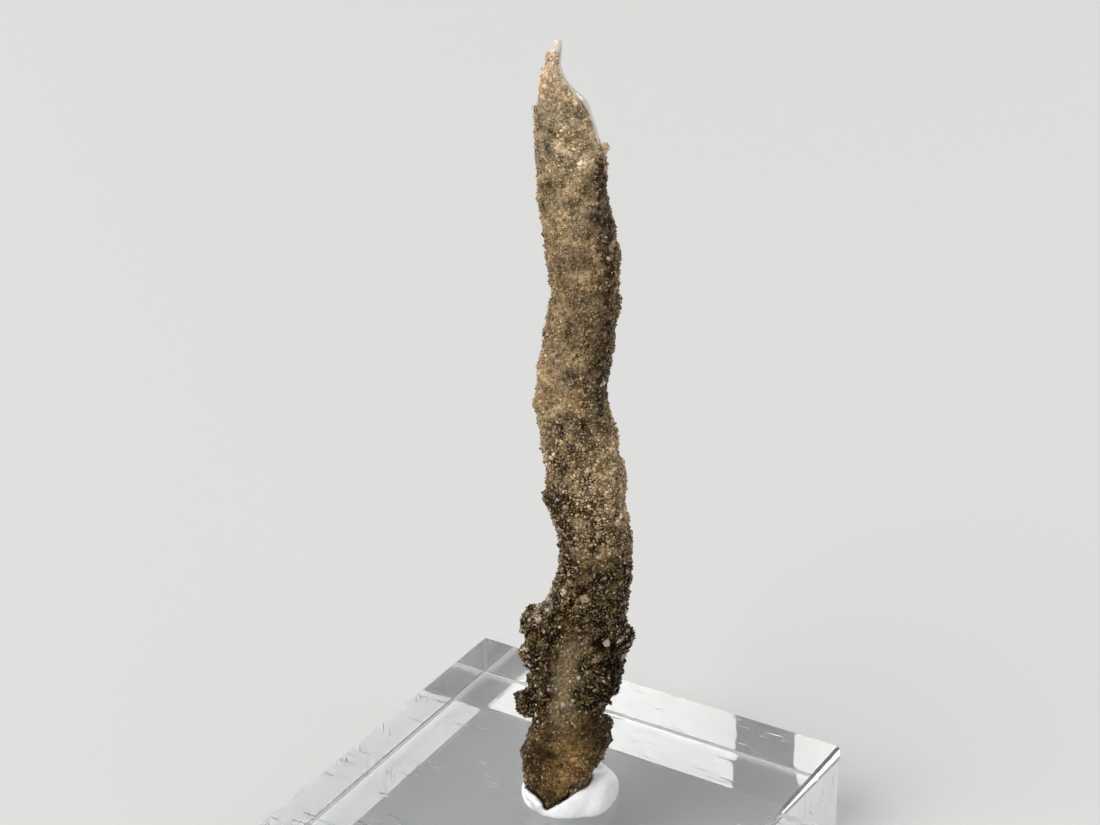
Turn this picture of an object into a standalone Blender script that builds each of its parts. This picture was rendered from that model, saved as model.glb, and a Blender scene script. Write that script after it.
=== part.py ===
"""Fulgurite: a hollow, sand-crusted tube of lightning-fused sand, held upright by a dab of white
putty on a clear acrylic display block.

Three separate solids: fulgurite, putty and display_block. Every size below is in millimetres. The
meshes are modelled in millimetres and scaled to metres when each piece is finished. The origin is the
centre of the block's underside, +Z is up, and the block's sides lie along X and Y.

The fulgurite and the putty are drawn in the specimen's own frame: +X is the specimen's right, -Y its
front and +Y its back. That frame is turned about Z against the block.
"""

import math
import random

import bmesh
import bpy
from mathutils import Matrix, Vector, noise

# ---- driving dimensions, millimetres ----
BLOCK_SIDE = 50.8
BLOCK_HEIGHT = 12.7
BLOCK_EDGE = 0.35

SPECIMEN_TURN_DEG = 30.7

# The outside of the fulgurite, without its lumps: height above the block's underside, then the left,
# right, front and back edge of the cross-section. It runs from the wedge that stands in the putty,
# over the bend in the lower third, to the splinter at the top.
BODY_STATIONS = (
    (13.0, -0.8, -0.3, -5.75, -5.2),
    (13.5, -2.3, 0.3, -5.8, -4.2),
    (14.2, -3.1, 1.4, -5.85, -2.7),
    (15.2, -3.2, 2.4, -5.9, -1.3),
    (16.6, -3.3, 3.5, -5.95, -0.6),
    (17.6, -3.4, 4.4, -6.0, -0.1),
    (18.8, -3.6, 5.5, -6.0, 0.2),
    (20.5, -3.1, 6.0, -6.0, 0.6),
    (22.5, -2.4, 5.8, -5.9, 0.9),
    (25.0, -2.1, 5.6, -5.8, 1.0),
    (28.0, -2.0, 6.6, -5.7, 1.2),
    (31.0, -1.8, 7.4, -5.6, 1.4),
    (34.5, -1.3, 7.9, -5.4, 1.6),
    (38.0, -0.5, 8.2, -5.1, 1.8),
    (42.0, 0.4, 8.6, -4.9, 1.9),
    (46.0, 0.8, 8.6, -4.6, 1.9),
    (50.0, -0.3, 7.8, -4.4, 2.0),
    (54.0, -0.4, 7.7, -4.4, 2.0),
    (58.0, -1.1, 6.8, -4.4, 1.9),
    (61.0, -1.5, 6.5, -4.5, 1.8),
    (64.0, -1.8, 5.7, -4.6, 1.6),
    (67.0, -1.5, 5.7, -4.8, 1.4),
    (70.5, -1.2, 6.3, -4.9, 1.2),
    (74.0, -0.7, 6.8, -4.9, 1.1),
    (77.0, -0.2, 6.9, -4.9, 1.1),
    (80.0, -0.6, 6.9, -4.8, 1.2),
    (83.5, -1.0, 6.3, -4.6, 1.4),
    (87.0, -1.7, 5.6, -4.4, 1.4),
    (91.0, -1.8, 5.6, -4.2, 1.3),
    (94.0, -1.9, 5.0, -4.1, 1.0),
    (97.2, -2.0, 4.1, -4.0, 0.4),
    (98.7, -1.9, 3.4, -3.9, -0.2),
    (99.6, -1.7, 2.5, -3.9, -0.9),
    (100.5, -1.6, 1.8, -3.9, -1.5),
    (101.4, -1.4, 1.3, -3.9, -1.9),
    (102.8, -1.1, 0.8, -3.8, -2.2),
    (103.9, -0.9, 0.9, -3.7, -2.4),
    (104.7, -0.2, 1.0, -3.6, -2.6),
    (105.6, 0.4, 0.9, -3.4, -2.8),
)
SECTION_POWER = 2.3  # 2 is an ellipse; more is squarer
SECTION_SIDES = 56
RING_SPACING = 0.45

# The foot's left side lies further back the further it is from the foot's tip, because the wall
# curls round there: how far back for each millimetre, and the heights where that fades in.
FOOT_TIP_X = -0.9
FOOT_RECEDES = 0.75
FOOT_FADE = (14.8, 19.5)

# The bore keeps this wall all round between these heights. Outside them it drifts backwards and
# widens past the body, which leaves the front wall as a wedge below and a splinter above.
WALL = 1.2
WALL_UNEVEN = 0.3
BORE_WALLED = (22.0, 88.0)
BORE_BELOW = (
    (11.0, -2.2, 4.6, -4.65, 1.8),
    (14.0, -2.2, 4.6, -4.7, 1.6),
    (18.0, -2.3, 4.4, -4.8, 0.6),
)
BORE_ABOVE = (
    (90.5, -0.7, 4.4, -3.1, 0.5),
    (92.5, -1.0, 4.7, -3.1, 1.0),
    (94.5, -1.9, 5.3, -3.1, 2.2),
    (97.0, -2.8, 4.9, -3.0, 3.6),
    (100.0, -2.7, 3.0, -2.95, 3.6),
    (103.0, -2.4, 2.8, -2.9, 3.6),
    (108.0, -2.0, 2.8, -2.8, 3.6),
)
BORE_SIDES = 30
BORE_SPACING = 1.6

# The ridge behind the right edge, and the groove between it and the front face. Angles run
# anticlockwise seen from above, from the specimen's right.
RIDGE_HEIGHTS = (44.0, 93.0)
RIDGE_DEG, RIDGE_WIDTH_DEG, RIDGE_RISE = 22.0, 20.0, 0.5
GROOVE_DEG, GROOVE_WIDTH_DEG, GROOVE_SINK = -14.0, 14.0, 0.8

# Lobes stand on the sides of the lower third: centre and radius, without their buds.
LOBES = (
    (-1.8, -2.4, 36.4, 1.9),
    (-0.9, -3.8, 37.3, 1.45),
    (-0.7, -4.1, 35.0, 1.35),
    (-1.2, -1.2, 35.6, 1.3),
    (-2.2, -2.6, 32.4, 1.65),
    (-1.4, -3.9, 31.6, 1.3),
    (-1.5, -1.3, 32.2, 1.2),
    (-1.8, -2.9, 29.1, 1.1),
    (-2.9, -2.8, 26.1, 1.4),
    (-2.0, -2.2, 25.6, 1.1),
    (-2.3, -2.6, 18.7, 1.5),
    (-1.9, -1.2, 20.4, 1.2),
    (7.3, -2.2, 34.7, 1.55),
    (7.1, -1.0, 33.0, 1.35),
    (7.1, -2.4, 31.9, 1.1),
    (6.6, -1.6, 29.6, 1.1),
    (5.5, -2.4, 22.6, 1.15),
    (5.5, -2.2, 20.6, 1.2),
    (4.9, -1.0, 21.6, 1.3),
)
BUDS_PER_LOBE = 14
BUD_SHARE = (0.32, 0.5)  # a bud's radius as a share of its lobe's
BUD_PROUD = 0.5  # how much of its radius a bud stands out of the lobe

# Knobs sit on the surface: height, angle round the body, radius, and how far each stands proud.
# 180 degrees is the left edge, -90 the front, 0 the right edge and 90 the back.
KNOBS = (
    (33.6, -38.0, 1.5, 0.5),
    (31.0, -55.0, 1.2, 0.4),
    (29.0, -40.0, 1.3, 0.5),
    (27.4, -62.0, 1.0, 0.35),
    (25.0, -28.0, 1.1, 0.4),
    (37.0, -152.0, 1.3, 0.5),
    (33.8, -146.0, 1.2, 0.45),
    (29.6, -150.0, 1.2, 0.45),
    (22.0, -150.0, 1.2, 0.35),
    (41.8, -2.0, 1.1, 0.35),
    (46.4, -6.0, 1.3, 0.35),
    (51.9, 184.0, 1.1, 0.8),
    (56.0, -4.0, 1.6, 0.35),
    (59.6, -30.0, 1.2, 0.3),
    (63.8, 182.0, 1.8, 0.35),
    (72.0, 176.0, 1.2, 0.3),
    (75.2, 180.0, 0.9, 0.35),
    (80.2, -8.0, 1.1, 0.3),
    (93.0, 8.0, 0.8, 0.7),
    (97.6, 178.0, 0.6, 0.4),
    (24.0, 70.0, 1.6, 0.6),
    (28.5, 110.0, 1.5, 0.6),
    (33.0, 80.0, 1.8, 0.7),
    (37.5, 60.0, 1.4, 0.5),
    (43.5, 105.0, 1.7, 0.5),
    (52.5, 70.0, 1.6, 0.5),
    (66.0, 95.0, 1.5, 0.4),
    (78.5, 75.0, 1.4, 0.35),
)

# Smaller lumps all over: more of them, and standing prouder, on the ground low down.
CRUST_LUMPS = 170
CRUST_HEIGHTS = (16.0, 94.0)
CRUST_CROWDING = 1.35
CRUST_RADIUS = (0.6, 1.3)
CRUST_PROUD_LOW = (0.15, 0.5)
CRUST_PROUD_HIGH = (0.05, 0.2)
CRUST_SEED = 7

# Surface swell: (wavelength, height) of each octave.
SWELL = ((7.0, 0.48), (2.6, 0.26), (1.5, 0.1))

FULGURITE_VOXEL = 0.27
FULGURITE_TRIANGLES = 8300

# The putty: a dab pressed round the foot of the specimen, higher on the right.
PUTTY_CENTRE = (2.0, -1.6)
PUTTY_LEFT, PUTTY_RIGHT, PUTTY_FRONT, PUTTY_BACK = -3.7, 7.8, -6.95, 3.4
PUTTY_HEIGHT_LEFT, PUTTY_HEIGHT_RIGHT = 3.1, 4.5
PUTTY_POWER = 2.7  # 2 is a dome; more is squarer
PUTTY_UNEVEN = 0.06
PUTTY_DENTS = (  # way and tilt in degrees, radius in degrees, depth as a share of the size
    (-62.0, 38.0, 30.0, 0.07),
    (-118.0, 30.0, 26.0, 0.05),
    (-20.0, 20.0, 22.0, 0.05),
    (35.0, 40.0, 34.0, 0.06),
    (120.0, 30.0, 34.0, 0.08),
)
PUTTY_LIP = (  # the roll that curls up in front of the foot's left side: x, y, height, radius
    (-0.9, -6.0, 13.25, 0.6),
    (-1.6, -5.75, 14.05, 0.75),
    (-2.2, -5.2, 14.5, 0.8),
    (-2.7, -4.5, 14.6, 0.75),
    (-3.0, -3.8, 14.7, 0.65),
    (-3.2, -3.0, 14.6, 0.6),
)
SCOOP_CENTRE = (5.2, -1.4, 17.6)  # pressed in beside the specimen's right edge
SCOOP_RADIUS = 1.75
PUTTY_VOXEL = 0.25
PUTTY_TRIANGLES = 1300
SEAT_GAP = 0.3  # between the block and the putty
GRIP_GAP = 0.4  # between the putty's pocket and the specimen, before the meshes are thinned
POCKET_TOP = 22.0

TO_METRES = 0.001


# ---- small helpers ----
def lerp(low, high, share):
    return low + (high - low) * share


def smooth_bump(distance, width):
    """1 at no distance, falling smoothly to 0 at width."""
    share = min(abs(distance) / width, 1.0)
    return (1.0 - share * share) ** 2


def turn_between(angle, other):
    """Degrees from one angle to another, from -180 to 180."""
    return (angle - other + 180.0) % 360.0 - 180.0


def edges_at(stations, height):
    """Left, right, front and back edge at a height, on a smooth curve through the stations."""
    last = len(stations) - 1
    upper = next((i for i, s in enumerate(stations) if s[0] >= height), last)
    upper = max(upper, 1)
    lower = upper - 1
    before, after = stations[max(lower - 1, 0)], stations[min(upper + 1, last)]
    start, end = stations[lower], stations[upper]
    span = end[0] - start[0]
    t = min(max((height - start[0]) / span, 0.0), 1.0)
    found = []
    for k in range(1, 5):
        slope_in = (end[k] - before[k]) / (end[0] - before[0]) * span
        slope_out = (after[k] - start[k]) / (after[0] - start[0]) * span
        found.append(
            (2 * t**3 - 3 * t**2 + 1) * start[k]
            + (t**3 - 2 * t**2 + t) * slope_in
            + (3 * t**2 - 2 * t**3) * end[k]
            + (t**3 - t**2) * slope_out
        )
    return found


def section_point(edges, angle_deg, height, power):
    """A point of a rounded-off cross-section, and the direction that points out of it."""
    left, right, front, back = edges
    half_width, half_depth = (right - left) / 2, (back - front) / 2
    turn = math.radians(angle_deg)
    c, s = math.cos(turn), math.sin(turn)
    x = math.copysign(abs(c) ** (2 / power), c) * half_width
    y = math.copysign(abs(s) ** (2 / power), s) * half_depth
    out = Vector((x / max(half_width, 0.1) ** 2, y / max(half_depth, 0.1) ** 2, 0.0))
    centre = Vector(((left + right) / 2, (front + back) / 2, height))
    return centre + Vector((x, y, 0.0)), out.normalized()


def heights_between(low, high, spacing):
    count = max(2, round((high - low) / spacing) + 1)
    return [lerp(low, high, i / (count - 1)) for i in range(count)]


def loft(bm, rings):
    """Skins closed rings of points into a closed shape with flat ends."""
    made = [[bm.verts.new(point) for point in ring] for ring in rings]
    sides = len(made[0])
    for lower, upper in zip(made, made[1:]):
        for i in range(sides):
            j = (i + 1) % sides
            bm.faces.new((lower[i], lower[j], upper[j], upper[i]))
    bm.faces.new(made[0][::-1])
    bm.faces.new(made[-1])


def object_from(bm, name, collection):
    mesh = bpy.data.meshes.new(name)
    bm.to_mesh(mesh)
    bm.free()
    made = bpy.data.objects.new(name, mesh)
    collection.objects.link(made)
    return made


def apply_modifiers(obj):
    """Makes the object's mesh what its modifiers give."""
    graph = bpy.context.evaluated_depsgraph_get()
    mesh = bpy.data.meshes.new_from_object(obj.evaluated_get(graph))
    obj.modifiers.clear()
    obj.data = mesh


def fuse(obj, voxel):
    """One skin round everything in the mesh, with the creases between lumps softened."""
    remesh = obj.modifiers.new("fuse", "REMESH")
    remesh.mode = "VOXEL"
    remesh.voxel_size = voxel
    remesh.adaptivity = 0.0
    apply_modifiers(obj)


def cut(obj, cutter):
    boolean = obj.modifiers.new("cut", "BOOLEAN")
    boolean.operation = "DIFFERENCE"
    boolean.solver = "EXACT"
    boolean.object = cutter
    apply_modifiers(obj)


def thin_out(obj, triangles):
    """Fewer, larger triangles where the surface is smooth."""
    obj.data.calc_loop_triangles()
    decimate = obj.modifiers.new("thin", "DECIMATE")
    decimate.ratio = min(1.0, triangles / len(obj.data.loop_triangles))
    decimate.use_collapse_triangulate = True
    apply_modifiers(obj)


def drop_crumbs(obj):
    """Keeps the largest connected piece of the mesh."""
    bm = bmesh.new()
    bm.from_mesh(obj.data)
    left, pieces = set(bm.verts), []
    while left:
        front = [left.pop()]
        piece = set(front)
        while front:
            near = {e.other_vert(v) for v in front for e in v.link_edges} & left
            left -= near
            piece |= near
            front = list(near)
        pieces.append(piece)
    pieces.sort(key=len)
    crumbs = [v for piece in pieces[:-1] for v in piece]
    bmesh.ops.delete(bm, geom=crumbs, context="VERTS")
    bm.to_mesh(obj.data)
    bm.free()


def finish(obj, material, smooth_deg):
    obj.data.transform(Matrix.Scale(TO_METRES, 4))
    obj.data.materials.clear()
    obj.data.materials.append(material)
    obj.data.shade_smooth()
    obj.data.set_sharp_from_angle(angle=math.radians(smooth_deg))


def principled(name, colour, roughness, transmission=0.0, ior=1.5):
    material = bpy.data.materials.new(name)
    material.use_nodes = True
    shader = material.node_tree.nodes["Principled BSDF"]
    shader.inputs["Base Color"].default_value = (*colour, 1.0)
    shader.inputs["Metallic"].default_value = 0.0
    shader.inputs["Roughness"].default_value = roughness
    shader.inputs["Transmission Weight"].default_value = transmission
    shader.inputs["IOR"].default_value = ior
    return material


# ---- fulgurite ----
def swell(point):
    """Height of the surface's slow roughness at a point."""
    return sum(
        rise * noise.noise(point / length + Vector((0.0, 0.0, rise)))
        for length, rise in SWELL
    )


def side_relief(height, angle_deg):
    """The ridge behind the right edge and the groove in front of it."""
    low, high = RIDGE_HEIGHTS
    middle, reach = (low + high) / 2, (high - low) / 2
    along = smooth_bump(height - middle, reach) ** 0.5
    uneven = 1.0 + 0.6 * noise.noise(Vector((0.0, 0.0, height / 6.0)))
    ridge = RIDGE_RISE * smooth_bump(
        turn_between(angle_deg, RIDGE_DEG), RIDGE_WIDTH_DEG
    )
    groove = GROOVE_SINK * smooth_bump(
        turn_between(angle_deg, GROOVE_DEG), GROOVE_WIDTH_DEG
    )
    return along * uneven * (ridge - groove)


def curl_foot(point):
    """Moves a point on the left of the foot back."""
    low, high = FOOT_FADE
    share = min(max((high - point.z) / (high - low), 0.0), 1.0)
    away = max(FOOT_TIP_X - point.x, 0.0)
    return point + Vector((0.0, FOOT_RECEDES * share * away, 0.0))


def body_point(height, angle_deg):
    """A point of the fulgurite's outside, and the direction out of it."""
    edges = edges_at(BODY_STATIONS, height)
    point, out = section_point(edges, angle_deg, height, SECTION_POWER)
    slimmest = min(edges[1] - edges[0], edges[3] - edges[2])
    fade = min(1.0, slimmest / 6.0)
    point += out * fade * (swell(point) + side_relief(height, angle_deg))
    return curl_foot(point), out


def add_body(bm):
    angles = [360.0 * i / SECTION_SIDES for i in range(SECTION_SIDES)]
    heights = heights_between(BODY_STATIONS[0][0], BODY_STATIONS[-1][0], RING_SPACING)
    loft(bm, [[body_point(z, a)[0] for a in angles] for z in heights])


def add_ball(bm, centre, radius):
    detail = 3 if radius > 1.0 else 2
    bmesh.ops.create_icosphere(
        bm, subdivisions=detail, radius=radius, matrix=Matrix.Translation(centre)
    )


def add_knob(bm, height, angle_deg, radius, proud):
    """A ball sunk into the surface until only so much of it stands proud."""
    point, out = body_point(height, angle_deg)
    add_ball(bm, point + out * (proud - radius), radius)


def add_lobe(bm, draw, x, y, z, radius):
    """A ball covered in buds, like a floret of cauliflower."""
    centre = Vector((x, y, z))
    add_ball(bm, centre, radius)
    for _ in range(BUDS_PER_LOBE):
        bud = radius * draw.uniform(*BUD_SHARE)
        way = Vector([draw.gauss(0.0, 1.0) for _ in range(3)]).normalized()
        add_ball(bm, centre + way * (radius - (1.0 - BUD_PROUD) * bud), bud)


def add_crust(bm, draw):
    low, high = CRUST_HEIGHTS
    for _ in range(CRUST_LUMPS):
        share = draw.random() ** CRUST_CROWDING
        proud = lerp(
            draw.uniform(*CRUST_PROUD_LOW), draw.uniform(*CRUST_PROUD_HIGH), share
        )
        height, angle_deg = lerp(low, high, share), draw.uniform(0.0, 360.0)
        add_knob(bm, height, angle_deg, draw.uniform(*CRUST_RADIUS), proud)


def fulgurite_outside(collection):
    """The solid outer form, with its lobes, knobs and crust fused to it."""
    draw = random.Random(CRUST_SEED)
    bm = bmesh.new()
    add_body(bm)
    for lobe in LOBES:
        add_lobe(bm, draw, *lobe)
    for knob in KNOBS:
        add_knob(bm, *knob)
    add_crust(bm, draw)
    outside = object_from(bm, "fulgurite", collection)
    fuse(outside, FULGURITE_VOXEL)
    return outside


def bore_stations():
    low, high = BORE_WALLED
    walled = [
        (z, left + WALL, right - WALL, front + WALL, back - WALL)
        for z, left, right, front, back in BODY_STATIONS
        if low <= z <= high
    ]
    return (*BORE_BELOW, *walled, *BORE_ABOVE)


def bore_point(stations, height, angle_deg):
    point, out = section_point(edges_at(stations, height), angle_deg, height, 2.0)
    return curl_foot(point + out * WALL_UNEVEN * noise.noise(point / 3.0))


def fulgurite_bore(collection):
    stations = bore_stations()
    angles = [360.0 * i / BORE_SIDES for i in range(BORE_SIDES)]
    heights = heights_between(stations[0][0], stations[-1][0], BORE_SPACING)
    bm = bmesh.new()
    loft(bm, [[bore_point(stations, z, a) for a in angles] for z in heights])
    return object_from(bm, "bore_cutter", collection)


def make_fulgurite(outside, bore, material):
    cut(outside, bore)
    fuse(outside, FULGURITE_VOXEL)
    drop_crumbs(outside)
    thin_out(outside, FULGURITE_TRIANGLES)
    finish(outside, material, smooth_deg=50.0)
    outside.rotation_euler.z = math.radians(SPECIMEN_TURN_DEG)


# ---- putty ----
def putty_point(direction):
    """Where a ray from the middle of the putty's base leaves it."""
    flat = math.hypot(direction.x, direction.y)
    tilt = math.degrees(math.atan2(direction.z, flat))
    across = math.degrees(math.atan2(direction.y, direction.x))
    reach = (flat**PUTTY_POWER + abs(direction.z) ** PUTTY_POWER) ** (-1 / PUTTY_POWER)
    reach *= 1.0 + PUTTY_UNEVEN * noise.noise(direction * 1.7)
    reach -= sum(
        depth * smooth_bump(math.hypot(turn_between(across, way), tilt - up), radius)
        for way, up, radius, depth in PUTTY_DENTS
    )
    x_edge = PUTTY_RIGHT if direction.x > 0 else PUTTY_LEFT
    y_edge = PUTTY_BACK if direction.y > 0 else PUTTY_FRONT
    high = lerp(PUTTY_HEIGHT_LEFT, PUTTY_HEIGHT_RIGHT, (direction.x + 1.0) / 2.0)
    return Vector(
        (
            PUTTY_CENTRE[0] + direction.x * reach * abs(x_edge - PUTTY_CENTRE[0]),
            PUTTY_CENTRE[1] + direction.y * reach * abs(y_edge - PUTTY_CENTRE[1]),
            BLOCK_HEIGHT + direction.z * reach * high,
        )
    )


def putty_blank(collection):
    bm = bmesh.new()
    bmesh.ops.create_icosphere(bm, subdivisions=5, radius=1.0)
    for vert in bm.verts:
        vert.co = putty_point(vert.co.normalized())
    for x, y, z, radius in PUTTY_LIP:
        add_ball(bm, Vector((x, y, z)), radius)
    blank = object_from(bm, "putty", collection)
    fuse(blank, PUTTY_VOXEL)
    return blank


def trim(obj, height, keep_below):
    """Cuts the mesh flat at a height and closes it there."""
    bm = bmesh.new()
    bm.from_mesh(obj.data)
    bmesh.ops.bisect_plane(
        bm,
        geom=[*bm.verts, *bm.edges, *bm.faces],
        plane_co=(0.0, 0.0, height),
        plane_no=(0.0, 0.0, 1.0),
        clear_outer=keep_below,
        clear_inner=not keep_below,
    )
    bmesh.ops.holes_fill(bm, edges=[e for e in bm.edges if e.is_boundary])
    bmesh.ops.triangulate(bm, faces=bm.faces)
    bmesh.ops.recalc_face_normals(bm, faces=bm.faces)
    bm.to_mesh(obj.data)
    bm.free()


def pocket_cutter(outside, collection):
    """The foot of the specimen, grown by the grip gap, with the scoop beside it."""
    cutter = bpy.data.objects.new("pocket_cutter", outside.data.copy())
    collection.objects.link(cutter)
    trim(cutter, POCKET_TOP, keep_below=True)
    grow = cutter.modifiers.new("grow", "DISPLACE")
    grow.strength = GRIP_GAP
    grow.mid_level = 0.0
    apply_modifiers(cutter)
    bm = bmesh.new()
    bm.from_mesh(cutter.data)
    add_ball(bm, Vector(SCOOP_CENTRE), SCOOP_RADIUS)
    bm.to_mesh(cutter.data)
    bm.free()
    fuse(cutter, PUTTY_VOXEL)
    return cutter


def make_putty(blank, pocket, material):
    cut(blank, pocket)
    fuse(blank, PUTTY_VOXEL)
    drop_crumbs(blank)
    thin_out(blank, PUTTY_TRIANGLES)
    trim(blank, BLOCK_HEIGHT + SEAT_GAP, keep_below=False)
    finish(blank, material, smooth_deg=60.0)
    blank.rotation_euler.z = math.radians(SPECIMEN_TURN_DEG)


# ---- display block ----
def make_block(collection, material):
    bm = bmesh.new()
    bmesh.ops.create_cube(bm, size=1.0)
    bmesh.ops.scale(bm, verts=bm.verts, vec=(BLOCK_SIDE, BLOCK_SIDE, BLOCK_HEIGHT))
    bmesh.ops.translate(bm, verts=bm.verts, vec=(0.0, 0.0, BLOCK_HEIGHT / 2))
    bmesh.ops.bevel(
        bm, geom=bm.edges[:], offset=BLOCK_EDGE, segments=1, affect="EDGES"
    )
    block = object_from(bm, "display_block", collection)
    finish(block, material, smooth_deg=20.0)


def hide_cutter(cutter):
    cutter.hide_render = True
    cutter.display_type = "WIRE"


def clear_scene():
    for obj in list(bpy.data.objects):
        bpy.data.objects.remove(obj)


def collection_named(name):
    made = bpy.data.collections.new(name)
    bpy.context.scene.collection.children.link(made)
    return made


def main():
    clear_scene()
    parts = collection_named("fulgurite_on_block")
    cutters = collection_named("cutters")
    crust = principled("fused_sand", (0.30, 0.22, 0.13), roughness=0.75)
    white = principled("white_putty", (0.80, 0.82, 0.83), roughness=0.55)
    acrylic = principled(
        "clear_acrylic", (0.95, 0.97, 0.97), roughness=0.02, transmission=1.0, ior=1.49
    )
    outside = fulgurite_outside(parts)
    bore = fulgurite_bore(cutters)
    pocket = pocket_cutter(outside, cutters)
    make_fulgurite(outside, bore, crust)
    make_putty(putty_blank(parts), pocket, white)
    make_block(parts, acrylic)
    for cutter in (bore, pocket):
        hide_cutter(cutter)


main()
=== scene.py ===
"""The looks of a fulgurite that stands in white putty on a clear acrylic block.

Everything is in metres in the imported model's frame. The fulgurite's own places are given in
millimetres in the specimen's frame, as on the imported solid: +X is its right, -Y its front, and Z is
the height above the block's underside.
"""

import itertools
import math

import bmesh
import bpy
import numpy as np
from mathutils import Matrix, Vector, noise
from mathutils.bvhtree import BVHTree

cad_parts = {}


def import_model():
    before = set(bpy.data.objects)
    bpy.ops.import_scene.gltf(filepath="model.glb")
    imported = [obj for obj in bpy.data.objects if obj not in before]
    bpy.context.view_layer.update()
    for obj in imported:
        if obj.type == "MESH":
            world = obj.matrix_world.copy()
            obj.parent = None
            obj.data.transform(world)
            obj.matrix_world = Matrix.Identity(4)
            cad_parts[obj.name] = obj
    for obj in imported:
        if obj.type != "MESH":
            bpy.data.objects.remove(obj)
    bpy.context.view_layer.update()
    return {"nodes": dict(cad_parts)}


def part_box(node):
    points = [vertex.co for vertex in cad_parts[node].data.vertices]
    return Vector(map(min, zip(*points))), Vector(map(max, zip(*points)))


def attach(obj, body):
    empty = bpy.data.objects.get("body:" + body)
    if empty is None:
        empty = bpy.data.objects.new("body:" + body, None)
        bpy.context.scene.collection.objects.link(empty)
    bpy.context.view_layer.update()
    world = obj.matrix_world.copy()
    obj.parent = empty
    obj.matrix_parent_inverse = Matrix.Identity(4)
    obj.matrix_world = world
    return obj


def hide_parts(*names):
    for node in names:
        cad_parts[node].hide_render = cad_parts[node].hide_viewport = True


MM = 0.001
SPECIMEN_TURN = math.radians(30.7)
# Each noise below is given as its strength, its length in millimetres and its seed.

# ---- the tube ----
# The middle of the tube's wall: height, centre x and y, half width and half depth. Above 93 and
# below 20 only the front wall stands, so the rest of the oval is open air there.
WALL_OVALS = (
    (13.0, 1.0, -1.6, 4.1, 3.9),
    (18.0, 1.0, -2.2, 4.0, 3.35),
    (22.0, 1.7, -2.55, 3.6, 2.8),
    (31.0, 2.8, -2.1, 4.0, 2.9),
    (42.0, 4.5, -1.5, 3.5, 2.8),
    (50.0, 3.75, -1.2, 3.45, 2.6),
    (58.0, 2.85, -1.25, 3.35, 2.55),
    (64.0, 1.95, -1.5, 3.15, 2.5),
    (72.0, 2.75, -1.9, 3.15, 2.4),
    (80.0, 3.15, -1.8, 3.15, 2.4),
    (88.0, 1.9, -1.5, 3.1, 2.25),
    (93.0, 1.7, -1.2, 3.2, 2.3),
    (97.0, 1.05, 0.0, 3.9, 3.45),
    (106.0, 0.4, 0.2, 3.0, 3.5),
)
BORE_REACH = 1.05  # how far out in the wall's oval a face that looks inward is still the bore's
# Where the front and the two sides of the oval start and are full, in its half depth or half width.
FRONT = (0.3, -0.3)
LEFT_SIDE = (0.0, -0.9)
RIGHT_SIDE = (0.1, 0.9)
# The splinter's broken right edge: height and x.
SPLINTER_EDGE = (
    (92.5, 5.6),
    (94.0, 4.9),
    (96.0, 4.4),
    (97.5, 3.9),
    (98.6, 3.35),
    (99.5, 2.5),
    (101.0, 1.4),
    (102.5, 0.85),
    (106.0, 0.85),
)
# Where the glass of the broken edge starts, and where it is full: by height, by how far the face
# looks outward and forward, and by how far the place is from the edge line.
BREAK_HEIGHTS = (92.5, 93.5)
BREAK_OUTWARD = (0.92, 0.6)
BREAK_FORWARD = (0.35, 0.1)
BREAK_REACH = (-1.0, -0.6)
# The thin line of bare glass along the edge, and the glass tip.
RIM_HEIGHTS = (94.0, 95.0)
RIM_REACH = (-0.42, -0.24)
EDGE_NOISE = ((0.1, 0.9, 17.0),)
TIP_HEIGHTS = (104.0, 104.6)
# The balls of glass that round off the splinter's tip: x, y, height and radius.
TIP_STUB = (
    (-0.35, -3.3, 100.6, 0.25),
    (-0.2, -3.2, 102.4, 0.42),
    (-0.05, -3.1, 103.8, 0.4),
    (0.1, -3.0, 104.8, 0.38),
    (0.15, -3.0, 105.2, 0.27),
)

BODY_VOXEL = 0.22 * MM
BODY_SMOOTHING = 5

# ---- sand grains ----
GRAIN_SEED = 11
GRAINS_PER_PIECE = 9400
CANDIDATES = 150000
# Grain spacing and radius at a height, in millimetres.
GRAIN_SPACING = (
    (13.0, 0.27),
    (23.0, 0.27),
    (30.0, 0.29),
    (50.0, 0.28),
    (66.0, 0.26),
    (105.0, 0.24),
)
GRAIN_RADIUS = (
    (13.0, 0.15),
    (24.0, 0.155),
    (30.0, 0.175),
    (48.0, 0.17),
    (66.0, 0.15),
    (105.0, 0.135),
)
SPACING_SPREAD = (0.75, 1.35)
GRAIN_SIZES = (-0.04, 0.29)  # the mean and the spread of the logarithm of a grain's size
# How far a grain's corners stand from its centre, and its stretch along each axis.
CHIPPED = (0.62, 1.3)
STRETCHED = (0.5, 1.45)
# How far a grain's centre stands out of bare crust at a height, and out of melted crust.
PROUD_BARE = ((13.0, 0.0), (24.0, 0.0), (30.0, 0.04), (48.0, 0.03), (66.0, -0.02), (105.0, -0.04))
PROUD_MELTED = -0.08
PROUD_SPREAD = 0.05
BARE_RIM = 0.2  # grains stand only where the share of broken edge is under this
# The share of the surface that has melted smooth, at a height.
MELTED_BY_HEIGHT = (
    (13.0, 0.5),
    (23.0, 0.45),
    (27.0, 0.1),
    (40.0, 0.1),
    (52.0, 0.2),
    (70.0, 0.5),
    (88.0, 0.45),
    (98.0, 0.5),
    (106.0, 1.0),
)
# What makes one place melt more than another: noises and how far the share above counts beside
# them, the values between which bare crust turns into melted, and how melted the pale band is.
MELTED_NOISE = ((0.7, 2.3, 4.0), (0.3, 0.9, 5.0))
MELTED_WEIGHT = 0.75
MELTED_EDGE = (0.27, -0.27)
BAND_MELTED = 0.35
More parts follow.
